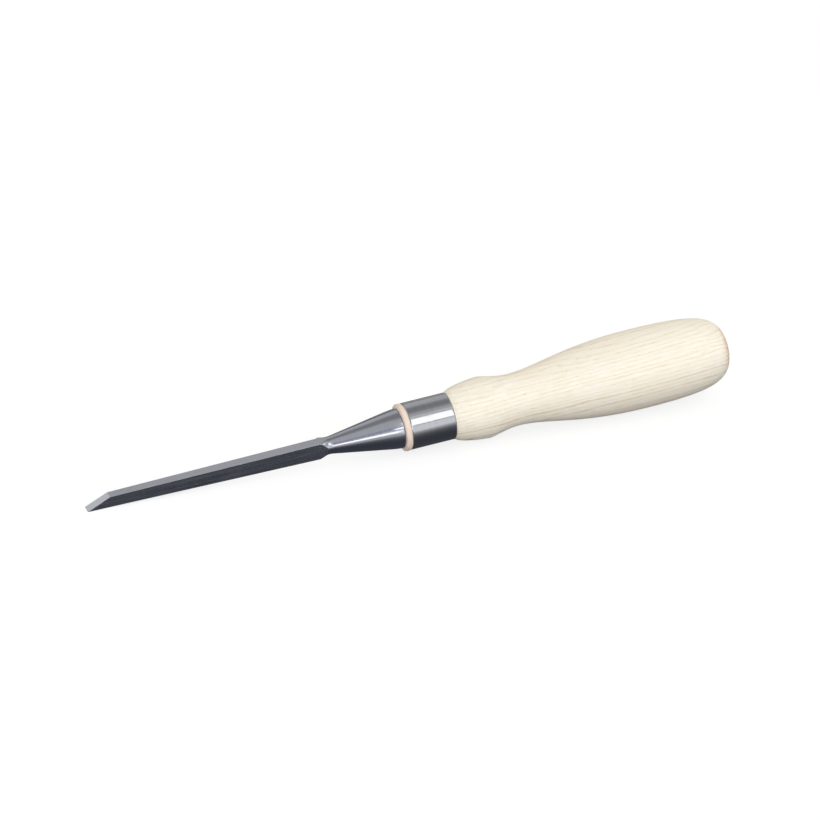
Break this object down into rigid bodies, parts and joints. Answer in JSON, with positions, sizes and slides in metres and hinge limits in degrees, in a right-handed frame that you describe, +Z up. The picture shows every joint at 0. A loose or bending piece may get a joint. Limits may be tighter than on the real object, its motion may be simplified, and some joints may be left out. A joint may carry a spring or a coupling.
{
  "type": "bevel edge chisel",
  "caption": "Narrow bevel edge chisel with a ground steel blade, conical bolster, leather washer, steel ferrule and turned ash handle, for paring and chopping fine joints in wood.",
  "frame": {"origin": "on the surface that the chisel lies on, under the middle of its length and width", "axes": "+X along the chisel from the cutting edge to the butt, +Z up and away from the surface, so that the blade's flat back faces down"},
  "size_m": [0.2694, 0.032, 0.0334],
  "materials": {
    "blade_steel": "ground bright on the top and the cutting bevel, polished on the bolster",
    "washer_leather": "undyed vegetable tanned leather with a cut edge",
    "ferrule_steel": "fine turned, almost polished",
    "handle_ash": "pale ash, sanded and oiled"
  },
  "bodies": {
    "root": {"blade": "blade_steel", "leather_washer": "washer_leather", "ferrule": "ferrule_steel", "handle": "handle_ash"}
  },
  "joints": []
}
